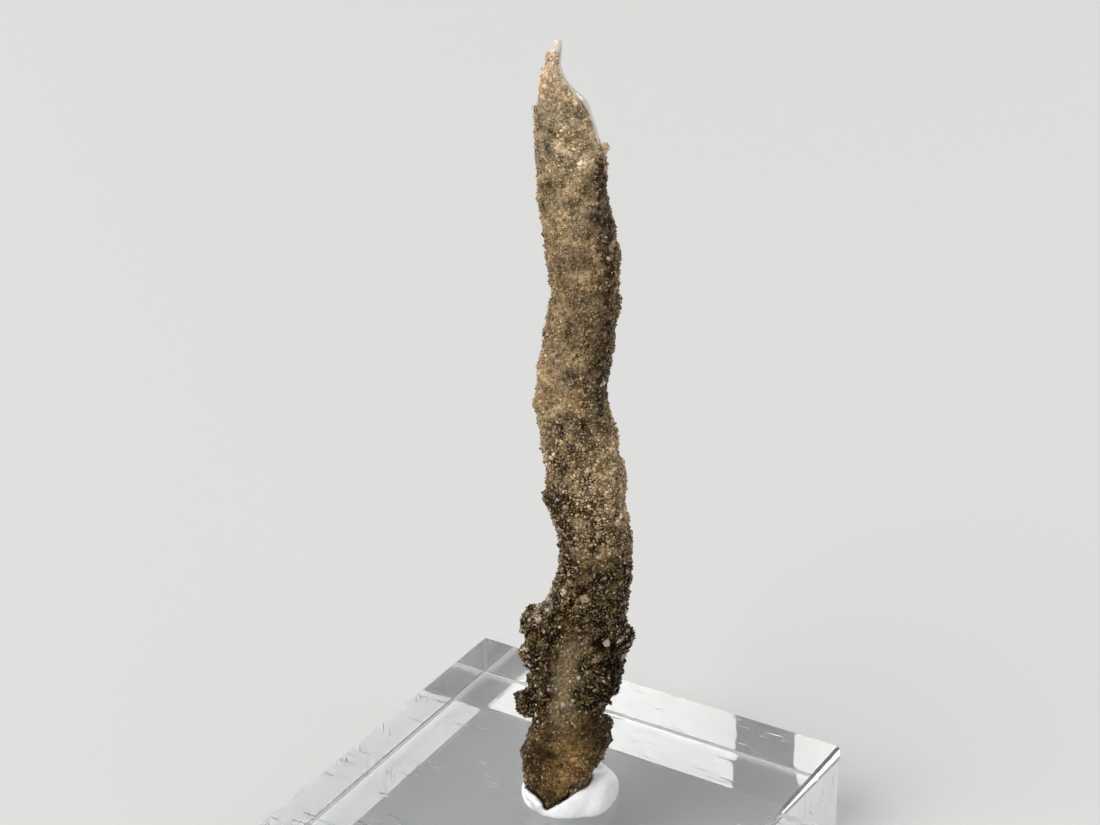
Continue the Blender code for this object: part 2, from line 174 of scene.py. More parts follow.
# The crust's lumps: their height, how much of it goes where there are knobs, and the shares of it
# that melted crust keeps and bare crust adds.
LUMP_NOISE = ((1.0, 1.35, 1.0),)
LUMP_HEIGHT = 0.22
LUMPS_LOST = 0.1
LUMPS_MELTED = 0.6
LUMPS_BARE = 0.4
# The grit: its height on melted crust, and what bare crust and the knobs add.
GRIT_NOISE = ((1.0, 0.62, 2.0),)
GRIT_HEIGHT = 0.06
GRIT_BARE = 0.1
GRIT_KNOBS = 0.05
# The knobs of the dark lower part: how far apart and how high they are, how far from a knob's centre
# its side is halfway down and over what width it falls, in knob lengths, and where the knobs end.
KNOB_LENGTH = 1.35
KNOB_HEIGHT = 0.27
KNOB_MIDDLE = 0.52
KNOB_SLOPE = 0.3
KNOBS_TOP = (46.0, 38.0)
KNOBS_FOOT = (23.0, 27.0)
BAND_SMOOTHNESS = 0.6  # how much of all this relief the pale band loses
# The crumbs: how many, how many grains in each, and how far these scatter and stand off the skin.
CRUMB_COUNT = 300
CRUMB_GRAINS = 7
CRUMB_SPREAD = 0.16
CRUMB_OUT = 0.1
CRUMB_LIFT = 0.17
# How common crumbs are: on bare crust, high up against low down, and in the furrow.
CRUMBS_BARE = 1.2
CRUMBS_HIGH = 0.3
CRUMBS_FURROW = 1.5
CRUMB_HEIGHTS = (75.0, 40.0)
# The fine sand between the grains.
FINE_PER_PIECE = 18000
FINE_SPACING = 0.2
FINE_RADIUS = 0.082
FINE_SIZES = (0.0, 0.25)
FINE_PROUD_BARE = 0.1
FINE_PROUD_MELTED = -0.01

# ---- colours, linear ----
IVORY = (0.86, 0.78, 0.64)
PALE_SAND = (0.58, 0.44, 0.275)
ROSE_SAND = (0.56, 0.41, 0.29)
TAN = (0.51, 0.37, 0.21)
CAMEL = (0.395, 0.28, 0.155)
BROWN = (0.212, 0.145, 0.066)
BARK = (0.172, 0.112, 0.044)
PALE_GOLD = (0.36, 0.22, 0.085)
GOLDEN = (0.19, 0.114, 0.039)
DARK_BROWN = (0.042, 0.022, 0.006)
UMBER = (0.012, 0.004, 0.0005)
ASH = (0.262, 0.2, 0.113)
QUARTZ = (0.7, 0.62, 0.5)
GLASS = (0.66, 0.615, 0.54)
# The pale glass lips, partly a painted highlight.
LIP_GLASS_AND_HIGHLIGHT = (0.63, 0.51, 0.39)
# Mostly painted shade of the gap, with some sand dirt, on the putty beside the specimen.
GAP_SHADE_AND_DIRT = (0.03, 0.022, 0.014)  # the putty where the specimen was pressed into it
# The crust's colour at a height: most of it, and its darker share.
CRUST_BY_HEIGHT = (
    (13.0, PALE_GOLD, DARK_BROWN),
    (19.0, PALE_GOLD, DARK_BROWN),
    (23.0, GOLDEN, DARK_BROWN),
    (26.0, BARK, UMBER),
    (38.0, BARK, UMBER),
    (45.0, BROWN, UMBER),
    (50.0, TAN, DARK_BROWN),
    (58.0, TAN, DARK_BROWN),
    (66.0, CAMEL, DARK_BROWN),
    (82.0, CAMEL, DARK_BROWN),
    (89.0, TAN, DARK_BROWN),
    (93.0, PALE_SAND, DARK_BROWN),
    (100.5, PALE_SAND, BROWN),
    (102.0, ROSE_SAND, TAN),
    (104.0, ROSE_SAND, TAN),
    (104.7, IVORY, PALE_SAND),
    (106.0, IVORY, PALE_SAND),
)
# How dark the skin between the grains is, the share of pale grains, and how much grains differ.
GRAIN_MIX = (
    (13.0, 0.6, 0.1, 0.36),
    (23.0, 0.65, 0.13, 0.4),
    (28.0, 0.95, 0.22, 0.5),
    (42.0, 0.95, 0.25, 0.55),
    (52.0, 0.85, 0.25, 0.5),
    (66.0, 0.62, 0.16, 0.38),
    (85.0, 0.45, 0.1, 0.28),
    (106.0, 0.35, 0.08, 0.22),
)
# Painted shade and light on the sides: how much darker the left and the right side are at a height.
SIDE_SHADE_AND_LIGHT = (
    (13.0, 0.65, 0.0),
    (20.0, 0.65, 0.4),
    (28.0, 0.25, 0.7),
    (36.0, 0.1, 0.5),
    (42.0, 0.1, 0.2),
    (47.0, 0.45, -0.1),
    (54.0, 0.35, -0.25),
    (60.0, 0.0, -0.2),
    (66.0, -0.25, 0.38),
    (75.0, 0.03, 0.2),
    (86.0, -0.15, 0.3),
    (90.0, -0.05, 0.3),
    (94.0, 0.0, -0.2),
    (106.0, 0.0, 0.0),
)
# How strongly dark patches, the right furrow's painted shade and the pale band show on skin and
# grains.
SKIN_MARKS = (1.0, 1.0, 0.75)
GRAIN_MARKS = (0.75, 0.7, 0.6)
# The darkness of melted skin and of a middling grain, and what a millimetre of height takes away.
MELTED_DARKNESS = 0.2
GRAIN_DARKNESS = 0.3
# Painted shade by relief: crust that stands out is painted paler, and crust in creases darker.
RELIEF_SHADE = 1.8
SKIN_BRIGHTNESS = 0.9
GRAIN_BRIGHTNESS = (0.65, 1.35)
# The crust's soft changes of brightness and their limits.
MOTTLE = ((0.45, 3.1, 12.0), (0.35, 1.3, 13.0), (0.2, 0.6, 14.0))
MOTTLE_LIMITS = (0.45, 1.6)
# Its changes of tint, and how much red, green and blue then differ.
TINT_NOISE = ((1.0, 1.7, 15.0),)
WARMER = (0.07, 0.0, -0.1)
# How much of a colour shows where its share is full.
ASH_SHARE = 0.65
LIP_AND_HIGHLIGHT_SHARE = 0.7
QUARTZ_SHARE = 0.55
BORE_SHARE = 0.55
CONTACT_SHADE_SHARE = 0.95
# Painted shade by the putty: up to what height it is near, and how far off it starts and is full.
CONTACT_SHADE_TOP = 21.0
CONTACT_SHADE_REACH = (0.55, 0.32)
# The pale band down the front of the lower third: height, x and half width. Then how it wavers, how
# far off its middle it starts and is full, and its two ends.
BAND = ((22.0, 1.3, 1.5), (27.0, 0.9, 1.35), (33.0, 1.6, 1.35), (37.0, 2.4, 1.2), (41.0, 2.6, 0.5))
BAND_NOISE = ((0.8, 1.6, 8.0),)
BAND_EDGE = (1.4, 0.3)
BAND_FOOT = (21.5, 27.0)
BAND_TOP = (38.5, 33.5)
# The crust in the furrow is painted darker: painted shade in the recess.
# The ragged furrow down the tube's right side: where it starts and is full from the inside and from
# the outside, in the half width, how it wavers and breaks off, and its two ends.
FURROW_INSIDE = (0.6, 0.85)
FURROW_OUTSIDE = (1.2, 1.05)
FURROW_NOISE = ((0.2, 2.4, 9.0),)
FURROW_BREAKS = ((1.0, 0.8, 10.0),)
FURROW_BREAK_EDGE = (-0.3, 0.1)
FURROW_UNBROKEN = 0.1  # the larger this is, the less it breaks off
FURROW_TOP = (95.0, 92.0)
FURROW_FOOT = (57.0, 63.0)
# How ragged a spot's outline is, and how far off its middle it starts and is full, in its radius.
SPOT_NOISE = ((0.55, 0.7, 16.0),)
SPOT_EDGE = (1.1, 0.3)
# Dark patches on the front: x, height, radius.
DARK_PATCHES = (
    (1.4, 98.0, 1.1),
    (-0.6, 94.0, 0.9),
    (2.6, 95.5, 0.8),
    (-0.9, 89.0, 0.9),
    (3.2, 89.5, 1.0),
    (4.5, 86.0, 1.0),
    (3.6, 81.2, 1.1),
    (0.1, 82.9, 0.35),
    (2.5, 75.8, 1.0),
    (4.4, 71.5, 1.8),
    (1.0, 68.8, 0.7),
    (5.0, 65.4, 1.4),
    (0.6, 63.5, 0.6),
    (2.2, 58.6, 0.8),
    (1.3, 57.2, 0.6),
    (6.1, 58.1, 0.7),
    (-0.2, 52.0, 1.2),
    (5.9, 55.3, 0.8),
    (3.4, 30.0, 0.9),
    (3.5, 24.2, 0.7),
    (5.0, 35.5, 1.0),
    (-1.4, 20.9, 1.3),
    (-2.4, 18.4, 0.8),
    (3.0, 23.2, 0.5),
    (2.0, 19.2, 0.5),
    (5.6, 22.0, 1.3),
    (0.6, 17.4, 0.5),
)
PATCH_STRENGTH = ((60.0, 0.9), (75.0, 0.68))  # of the dark patches, at a height
# Pale lips of bare glass on the tube's edges, partly a painted highlight: x, height, radius.
GLASS_LIPS_AND_HIGHLIGHTS = (
    (-2.8, 97.5, 0.6),
    (-2.7, 93.5, 0.6),
    (-2.7, 91.8, 0.5),
    (5.6, 92.4, 0.6),
    (6.3, 82.4, 0.5),
    (-0.1, 43.8, 0.5),
    (-0.8, 39.3, 0.75),
    (-1.7, 38.2, 0.45),
    (7.8, 35.0, 0.5),
    (7.9, 32.4, 0.45),
)


# ---- small helpers ----
def along(stations, z, column):
    """A column of the stations at each height in z, between its stations."""
    heights = [s[0] for s in stations]
    return np.interp(z, heights, [s[column] for s in stations])


def colour_along(stations, z, column):
    """A column of colours of the stations at each height in z."""
    heights = [s[0] for s in stations]
    channels = zip(*[s[column] for s in stations])
    return np.stack([np.interp(z, heights, channel) for channel in channels], axis=1)


def smoothstep(low, high, value):
    """0 at low and 1 at high, with a smooth rise between them. low may be the larger."""
    t = np.clip((value - low) / (high - low), 0.0, 1.0)
    return t * t * (3.0 - 2.0 * t)


def mix(colours, other, share):
    """Mixes rows of colours with other rows, or with one colour, by a share for each row."""
    share = np.asarray(share)[..., None]
    return colours * (1.0 - share) + np.asarray(other) * share


def specimen_mm(points):
    """Points of the row frame, in metres, as millimetres in the specimen's frame."""
    c, s = math.cos(SPECIMEN_TURN), math.sin(SPECIMEN_TURN)
    x = points[:, 0] * c + points[:, 1] * s
    y = points[:, 1] * c - points[:, 0] * s
    return np.stack([x, y, points[:, 2]], axis=1) / MM


def turned(directions):
    """Directions of the row frame, in the specimen's frame."""
    return specimen_mm(directions) * MM


def swirl(points, length, seed):
    """Smooth noise from -1 to 1 at each point, in millimetres."""
    shift = Vector((seed, 2.3 * seed, -1.7 * seed))
    return np.array([noise.noise(Vector(p) / length + shift) for p in points])


def swirls(points, noises):
    """The sum of the listed noises at each point, in millimetres."""
    return sum(strength * swirl(points, length, seed) for strength, length, seed in noises)


def vertex_vectors(vectors, attribute):
    """A vector of each item of a mesh's collection, as rows."""
    flat = np.empty(len(vectors) * 3, np.float32)
    vectors.foreach_get(attribute, flat)
    return flat.reshape(-1, 3).astype(float)


def coordinates(mesh):
    return vertex_vectors(mesh.vertices, "co")


def vertex_normals(mesh):
    return vertex_vectors(mesh.vertex_normals, "vector")


def set_coordinates(mesh, points):
    mesh.vertices.foreach_set("co", points.astype(np.float32).ravel())
    mesh.update()


def add_object(name, mesh):
    made = bpy.data.objects.new(name, mesh)
    bpy.context.scene.collection.objects.link(made)
    return made


def apply_modifiers(obj):
    graph = bpy.context.evaluated_depsgraph_get()
    mesh = bpy.data.meshes.new_from_object(obj.evaluated_get(graph))
    obj.modifiers.clear()
    obj.data = mesh


def remesh_and_smooth(obj, voxel, rounds):
    """An even skin over the solid, without its facets."""
    remesh = obj.modifiers.new("even_skin", "REMESH")
    remesh.mode = "VOXEL"
    remesh.voxel_size = voxel
    smooth = obj.modifiers.new("no_facets", "SMOOTH")
    smooth.factor = 0.5
    smooth.iterations = rounds
    apply_modifiers(obj)


def add_colour_attribute(mesh, name, colours):
    """One colour for each vertex, with alpha 1."""
    made = mesh.color_attributes.new(name, "FLOAT_COLOR", "POINT")
    rgba = np.ones((len(colours), 4), np.float32)
    rgba[:, :3] = np.clip(colours, 0.0, 1.0)
    made.data.foreach_set("color", rgba.ravel())


def add_value_attribute(mesh, name, values):
    made = mesh.attributes.new(name, "FLOAT", "POINT")
    made.data.foreach_set("value", np.asarray(values, np.float32))


def face_means(mesh, values):
    """The mean of the vertices' values on each face."""
    corners = np.empty(len(mesh.loops), np.int32)
    mesh.loops.foreach_get("vertex_index", corners)
    starts = np.empty(len(mesh.polygons), np.int32)
    mesh.polygons.foreach_get("loop_start", starts)
    sizes = np.empty(len(mesh.polygons), np.int32)
    mesh.polygons.foreach_get("loop_total", sizes)
    return np.add.reduceat(values[corners], starts) / sizes


# ---- where on the fulgurite a point is ----
def in_wall(places):
    """Where a place is in the wall's oval: across and deep, in its half width and half depth."""
    z = places[:, 2]
    across = (places[:, 0] - along(WALL_OVALS, z, 1)) / along(WALL_OVALS, z, 3)
    deep = (places[:, 1] - along(WALL_OVALS, z, 2)) / along(WALL_OVALS, z, 4)
    return across, deep


def is_bore(places, normals):
    """True on the glassy inner face."""
    z = places[:, 2]
    out_x = places[:, 0] - along(WALL_OVALS, z, 1)
    out_y = places[:, 1] - along(WALL_OVALS, z, 2)
    facing_in = normals[:, 0] * out_x + normals[:, 1] * out_y < 0.0
    return facing_in & (np.hypot(*in_wall(places)) < BORE_REACH)


def rim_share(places, normals, bore):
    """1 on the broken edge of the splinter, which faces neither out nor into the bore."""
    z = places[:, 2]
    out_x = (places[:, 0] - along(WALL_OVALS, z, 1)) / along(WALL_OVALS, z, 3) ** 2
    out_y = (places[:, 1] - along(WALL_OVALS, z, 2)) / along(WALL_OVALS, z, 4) ** 2
    outward = (normals[:, 0] * out_x + normals[:, 1] * out_y) / np.hypot(out_x, out_y)
    from_edge = places[:, 0] - along(SPLINTER_EDGE, z, 1) + swirls(places, EDGE_NOISE)
    broken = smoothstep(*BREAK_OUTWARD, outward) * smoothstep(*BREAK_HEIGHTS, z)
    broken *= smoothstep(*BREAK_FORWARD, -normals[:, 1])
    broken *= smoothstep(*BREAK_REACH, from_edge)
    edge = smoothstep(*RIM_REACH, from_edge) * smoothstep(*RIM_HEIGHTS, z)
    return np.maximum(np.maximum(broken, edge) * ~bore, smoothstep(*TIP_HEIGHTS, z))


def front_share(places):
    """1 on the front of the tube, 0 on its back."""
    return smoothstep(*FRONT, in_wall(places)[1])


def band_share(places):
    """1 along the middle of the pale band, 0 off it."""
    z = places[:, 2]
    off = np.abs(places[:, 0] - along(BAND, z, 1) + swirls(places, BAND_NOISE))
    ends = smoothstep(*BAND_FOOT, z) * smoothstep(*BAND_TOP, z)
    return smoothstep(*BAND_EDGE, off / along(BAND, z, 2)) * ends * front_share(places)


def side_shade_and_light(places):
    """How much darker a place is painted for its side: painted shade, and painted light where below
    0.
    """
    z = places[:, 2]
    across = in_wall(places)[0]
    left = smoothstep(*LEFT_SIDE, across) * along(SIDE_SHADE_AND_LIGHT, z, 1)
    right = smoothstep(*RIGHT_SIDE, across) * along(SIDE_SHADE_AND_LIGHT, z, 2)
    return left + right


def furrow_share(places):
    """1 in the furrow down the right side of the tube, which has a paler lip outside it."""
    z = places[:, 2]
    across = in_wall(places)[0] + swirls(places, FURROW_NOISE)
    strip = smoothstep(*FURROW_INSIDE, across) * smoothstep(*FURROW_OUTSIDE, across)
    strip *= smoothstep(*FURROW_BREAK_EDGE, swirls(places, FURROW_BREAKS) + FURROW_UNBROKEN)
    return strip * smoothstep(*FURROW_TOP, z) * smoothstep(*FURROW_FOOT, z)


def spot_share(places, spots):
    """1 in the middle of each spot, as it is seen from the front, and 0 off its ragged edge."""
    share = np.zeros(len(places))
    ragged = swirls(places, SPOT_NOISE)
    for x, z, radius in spots:
        off = np.hypot(places[:, 0] - x, places[:, 2] - z) / radius + ragged
        share = np.maximum(share, smoothstep(*SPOT_EDGE, off))
    return share


def patch_share(places):
    """1 in the dark patches of the front, or less where they are fainter."""
    share = spot_share(places, DARK_PATCHES) * front_share(places)
    return share * along(PATCH_STRENGTH, places[:, 2], 1)


def contact_shade_share(points, putty):
    """1 where the crust is right beside the putty, for the painted shade of the contact."""
    share = np.zeros(len(points))
    for i in np.flatnonzero(points[:, 2] < CONTACT_SHADE_TOP * MM):
        distance = putty.find_nearest(Vector(points[i]))[3] / MM
        share[i] = smoothstep(*CONTACT_SHADE_REACH, distance)
    return share


def crust_colour(places, darkness):
    """The crust's colour at each place. darkness from 0 to 1 picks between its two colours."""
    z = places[:, 2]
    return mix(colour_along(CRUST_BY_HEIGHT, z, 1), colour_along(CRUST_BY_HEIGHT, z, 2), darkness)


def marked(darkness, places, strengths):
    """The crust's darkness with the dark patches, the furrow, the two sides and the pale band."""
    patch, furrow, band = strengths
    darkness = np.maximum(darkness, patch * patch_share(places))
    # Painted shade in the right furrow.
    darkness = np.maximum(darkness, furrow * furrow_share(places))
    # Painted shade on the sides, and painted light where a side's value is below 0.
    darkness = np.clip(darkness + side_shade_and_light(places), 0.0, 1.0)
    return darkness * (1.0 - band * band_share(places))


# ---- fulgurite ----
def melted_share(places):
    """1 where the crust has melted to smooth glass, 0 where the sand stands bare."""
    amount = along(MELTED_BY_HEIGHT, places[:, 2], 1)
    patchy = swirls(places, MELTED_NOISE) + MELTED_WEIGHT * (0.5 - amount)
    share = smoothstep(*MELTED_EDGE, patchy) * (1.0 - furrow_share(places))
    return np.maximum(share, BAND_MELTED * band_share(places))


def mottle(places):
    """Soft changes of brightness over the crust, about 1."""
    return np.clip(1.0 + swirls(places, MOTTLE), *MOTTLE_LIMITS)


def tinted(colours, places):
    """The colours, a little redder here and a little more olive there."""
    return colours * (1.0 + swirls(places, TINT_NOISE)[:, None] * np.array(WARMER))


def knobs(places):
    """Round knobs packed together: 1 on top of a knob, -1 in a crease."""
    apart = [noise.voronoi(Vector(p) / KNOB_LENGTH)[0][0] for p in places]
    return np.clip((KNOB_MIDDLE - np.array(apart)) / KNOB_SLOPE, -1.0, 1.0)


def relief(places, melted):
    """The lumps and grit of the crust, in millimetres."""
    z = places[:, 2]
    knobby = smoothstep(*KNOBS_TOP, z) * smoothstep(*KNOBS_FOOT, z)
    bare = 1.0 - melted
    lumps = swirls(places, LUMP_NOISE) * (LUMP_HEIGHT - LUMPS_LOST * knobby)
    lumps *= LUMPS_MELTED + LUMPS_BARE * bare
    lumps += knobs(places) * KNOB_HEIGHT * knobby * bare
    grit = swirls(places, GRIT_NOISE) * (GRIT_HEIGHT + GRIT_BARE * bare + GRIT_KNOBS * knobby)
    return (lumps + grit) * (1.0 - BAND_SMOOTHNESS * band_share(places))


def add_stub(mesh):
    """Adds the balls of the tip to a copy of the solid's mesh, which the remesh then joins."""
    bm = bmesh.new()
    bm.from_mesh(mesh)
    turn = Matrix.Rotation(SPECIMEN_TURN, 4, "Z")
    for x, y, z, radius in TIP_STUB:
        place = turn @ Matrix.Translation(Vector((x, y, z)) * MM)
        bmesh.ops.create_icosphere(bm, subdivisions=2, radius=radius * MM, matrix=place)
    bm.to_mesh(mesh)
    bm.free()


def surface_tree(mesh):
    return BVHTree.FromPolygons([v.co for v in mesh.vertices], [p.vertices for p in mesh.polygons])


def skin_colours(places, melted, moved, glass, contact_shade):
    """The colour of the skin between the grains, where it has moved out by so much."""
    gaps = along(GRAIN_MIX, places[:, 2], 1)
    # Painted shade by relief: skin that stands out is painted paler, and skin in creases darker.
    darkness = gaps - (gaps - MELTED_DARKNESS) * melted - RELIEF_SHADE * moved
    darkness = marked(np.clip(darkness, 0.0, 1.0), places, SKIN_MARKS)
    colours = crust_colour(places, darkness) * (SKIN_BRIGHTNESS * mottle(places))[:, None]
    colours = mix(colours, ASH, ASH_SHARE * band_share(places))
    # Pale glass lips, partly a painted highlight.
    colours = mix(colours, LIP_GLASS_AND_HIGHLIGHT, LIP_AND_HIGHLIGHT_SHARE * spot_share(places, GLASS_LIPS_AND_HIGHLIGHTS))
    # Painted shade where the crust meets the putty.
    colours = mix(colours, UMBER, CONTACT_SHADE_SHARE * contact_shade)
    return tinted(mix(colours, GLASS, glass), places)


def make_body(solid, putty):
    """The tube itself: its skin, pits and the glassy bore."""
    body = add_object("fulgurite_body", solid.data.copy())
    add_stub(body.data)
    remesh_and_smooth(body, BODY_VOXEL, BODY_SMOOTHING)
    mesh = body.data
    points = coordinates(mesh)
    normals = vertex_normals(mesh)
    places = specimen_mm(points)
    bore = is_bore(places, turned(normals))
    rim = rim_share(places, turned(normals), bore)
    melted = melted_share(places)
    moved = relief(places, melted) * np.where(bore, 0.0, 1.0 - rim)
    set_coordinates(mesh, points + normals * moved[:, None] * MM)
    glass = np.maximum(rim, BORE_SHARE * bore)
    colours = skin_colours(places, melted, moved, glass, contact_shade_share(points, putty))
    add_colour_attribute(mesh, "crust", colours)
    glassy = np.maximum(rim, bore.astype(float))
    add_value_attribute(mesh, "glassy", glassy)
    mesh.shade_smooth()
    mesh.materials.clear()
    mesh.materials.append(crust_material())
    mesh.materials.append(glass_material())
    is_glass = face_means(mesh, glassy) > 0.5
    mesh.polygons.foreach_set("material_index", is_glass.astype(np.int32))
    return body, bore, rim


def face_points(mesh, draw, count):
    """Random points of the mesh: place, normal and the index of one corner of its triangle."""
    mesh.calc_loop_triangles()
    tris = np.empty(len(mesh.loop_triangles) * 3, np.int32)
    mesh.loop_triangles.foreach_get("vertices", tris)
    tris = tris.reshape(-1, 3)
    corners = coordinates(mesh)[tris]
    cross = np.cross(corners[:, 1] - corners[:, 0], corners[:, 2] - corners[:, 0])
    size = np.linalg.norm(cross, axis=1)
    picked = draw.choice(len(tris), count, p=size / size.sum())
    a, b = draw.random(count), draw.random(count)
    over = a + b > 1.0
    a[over], b[over] = 1.0 - a[over], 1.0 - b[over]
    chosen = corners[picked]
    found = chosen[:, 0] + a[:, None] * (chosen[:, 1] - chosen[:, 0])
    found += b[:, None] * (chosen[:, 2] - chosen[:, 0])
    return found, cross[picked] / size[picked][:, None], tris[picked, 0]


NEXT_CELLS = tuple(itertools.product((-1, 0, 1), repeat=3))


def spread_out(places, spacing):
    """Indices of places that keep their spacing from the ones before them."""
    cell = float(spacing.max())
    grid, kept = {}, []
    for i, place in enumerate(places.tolist()):
        x, y, z = place
        home = (int(x // cell), int(y // cell), int(z // cell))
        limit = spacing[i] ** 2
        near = (
            other
            for step in NEXT_CELLS
            for other in grid.get((home[0] + step[0], home[1] + step[1], home[2] + step[2]), ())
        )
        if any((ox - x) ** 2 + (oy - y) ** 2 + (oz - z) ** 2 < limit for ox, oy, oz in near):
            continue
        grid.setdefault(home, []).append(place)
        kept.append(i)
    return np.array(kept)


def icosahedron():
    """Corners and faces of an icosahedron of radius 1."""
    bm = bmesh.new()
    bmesh.ops.create_icosphere(bm, subdivisions=1, radius=1.0)
    corners = np.array([v.co[:] for v in bm.verts])
    faces = np.array([[v.index for v in f.verts] for f in bm.faces])
    bm.free()
    return corners, faces


def octahedron():
    """Corners and faces of an octahedron of radius 1."""
    corners = np.concatenate([np.eye(3), -np.eye(3)])
    upper = [[0, 1, 2], [1, 3, 2], [3, 4, 2], [4, 0, 2]]
    lower = [[1, 0, 5], [3, 1, 5], [4, 3, 5], [0, 4, 5]]
    return corners, np.array(upper + lower)


def random_turns(draw, count):
    """Rotation matrices, evenly spread over all rotations."""
    q = draw.normal(size=(count, 4))
    q /= np.linalg.norm(q, axis=1)[:, None]
    w, x, y, z = q.T
    rows = [
        [1 - 2 * (y * y + z * z), 2 * (x * y - z * w), 2 * (x * z + y * w)],
        [2 * (x * y + z * w), 1 - 2 * (x * x + z * z), 2 * (y * z - x * w)],
        [2 * (x * z - y * w), 2 * (y * z + x * w), 1 - 2 * (x * x + y * y)],
    ]
    return np.array(rows).transpose(2, 0, 1)


def grain_mesh(name, solid, centres, radii, colours, draw):
    """One mesh of chipped, faceted grains, each with its own colour."""
    corners, faces = solid
    count = len(centres)
    shape = corners[None] * draw.uniform(*CHIPPED, (count, len(corners), 1))
    shape = shape * draw.uniform(*STRETCHED, (count, 1, 3))
    shape = np.einsum("nij,nkj->nki", random_turns(draw, count), shape)
    points = centres[:, None] + shape * radii[:, None, None]
    index = faces[None] + (np.arange(count) * len(corners))[:, None, None]
    mesh = bpy.data.meshes.new(name)
    mesh.from_pydata(points.reshape(-1, 3).tolist(), [], index.reshape(-1, 3).tolist())
    add_colour_attribute(mesh, "crust", np.repeat(colours, len(corners), axis=0))
    mesh.shade_flat()
    return mesh


def grain_colours(places, draw):
    """A colour for each grain: the crust's, varied, with some pale quartz and some nearly black."""
    count = len(places)
    spread = draw.normal(0.0, 1.0, count) * along(GRAIN_MIX, places[:, 2], 3)
    moved = relief(places, melted_share(places))
    # Painted shade by relief: grains on lumps are painted paler, and grains in creases darker.
    darkness = np.clip(GRAIN_DARKNESS + spread - RELIEF_SHADE * moved, 0.0, 1.0)
    colours = crust_colour(places, marked(darkness, places, GRAIN_MARKS))
    colours = mix(colours, ASH, ASH_SHARE * band_share(places))
    quartz = draw.random(count) < along(GRAIN_MIX, places[:, 2], 2)
    colours = mix(colours, QUARTZ, QUARTZ_SHARE * quartz * draw.random(count))
    # Pale glass lips, partly a painted highlight.
    colours = mix(colours, LIP_GLASS_AND_HIGHLIGHT, LIP_AND_HIGHLIGHT_SHARE * spot_share(places, GLASS_LIPS_AND_HIGHLIGHTS))
    brightness = mottle(places) * draw.uniform(*GRAIN_BRIGHTNESS, count)
    return tinted(colours, places) * brightness[:, None]


def make_crumbs(points, normals, places, skin, draw):
    """Grains in loose clusters that stand out of the crust, most of them on its bare parts."""
    low = smoothstep(*CRUMB_HEIGHTS, places[:, 2])
    weight = CRUMBS_BARE - melted_share(places)
    weight *= CRUMBS_HIGH + (1.0 - CRUMBS_HIGH) * low
    weight += CRUMBS_FURROW * furrow_share(places)
    picked = draw.choice(len(places), CRUMB_COUNT, replace=False, p=weight / weight.sum())
    home = np.repeat(picked, CRUMB_GRAINS)
    jitter = draw.normal(0.0, CRUMB_SPREAD, (len(home), 3))
    made = points[home] + (jitter + normals[home] * CRUMB_OUT) * MM
    lift = draw.uniform(0.0, CRUMB_LIFT, len(home)) * MM
    for i, place in enumerate(made):
        near, out, _, _ = skin.find_nearest(Vector(place))
        made[i] = near + out * lift[i]
    return made


def join_grains(name, solid, per_piece, centres, radii, putty, draw):
    """The grains as a few joined meshes from the foot up. Radii are in millimetres."""
    order = np.argsort(centres[:, 2])
    centres, radii = centres[order], radii[order] * MM
    colours = grain_colours(specimen_mm(centres), draw)
    # Painted shade where the grains meet the putty.
    colours = mix(colours, UMBER, CONTACT_SHADE_SHARE * contact_shade_share(centres, putty))
    pieces = []
    for part in np.array_split(np.arange(len(centres)), math.ceil(len(centres) / per_piece)):
        piece = f"{name}_{len(pieces) + 1}"
        mesh = grain_mesh(piece, solid, centres[part], radii[part], colours[part], draw)
        pieces.append(add_object(piece, mesh))
    return pieces


def make_grains(body, bore_at, rim_at, putty):
    """The sand on the outside: coarse grains, crumbs of them, and fine sand between them."""
    draw = np.random.default_rng(GRAIN_SEED)
    points, normals, corner = face_points(body.data, draw, CANDIDATES)
    outside = ~bore_at[corner] & (rim_at[corner] < BARE_RIM)
    points, normals = points[outside], normals[outside]
    places = specimen_mm(points)
    z = places[:, 2]
    melted = melted_share(places)
    spacing = along(GRAIN_SPACING, z, 1) * draw.uniform(*SPACING_SPREAD, len(places))
    coarse = spread_out(places, spacing)
    left = np.setdiff1d(np.arange(len(places)), coarse)
    spacing = FINE_SPACING * draw.uniform(*SPACING_SPREAD, len(left))
    fine = left[spread_out(places[left], spacing)]
    bare = along(PROUD_BARE, z, 1)
    proud = bare + (PROUD_MELTED - bare) * melted
    proud[fine] = FINE_PROUD_BARE + (FINE_PROUD_MELTED - FINE_PROUD_BARE) * melted[fine]
    proud += draw.normal(0.0, PROUD_SPREAD, len(places))
    centres = points + normals * (proud * MM)[:, None]
    skin = surface_tree(body.data)
    crumbs = make_crumbs(points[coarse], normals[coarse], places[coarse], skin, draw)
    sand = np.concatenate([centres[coarse], crumbs])
    radii = along(GRAIN_RADIUS, sand[:, 2] / MM, 1)
    radii = radii * np.exp(draw.normal(*GRAIN_SIZES, len(sand)))
    solid = icosahedron()
    pieces = join_grains("sand_grains", solid, GRAINS_PER_PIECE, sand, radii, putty, draw)
    sand = centres[fine]
    radii = FINE_RADIUS * np.exp(draw.normal(*FINE_SIZES, len(sand)))
    solid = octahedron()
    pieces += join_grains("fine_sand", solid, FINE_PER_PIECE, sand, radii, putty, draw)
    coat = grain_material()
    for piece in pieces:
        piece.data.materials.append(coat)
    return pieces


# ---- materials ----
WHOLE = (0.0, 1.0)  # the whole range of a share
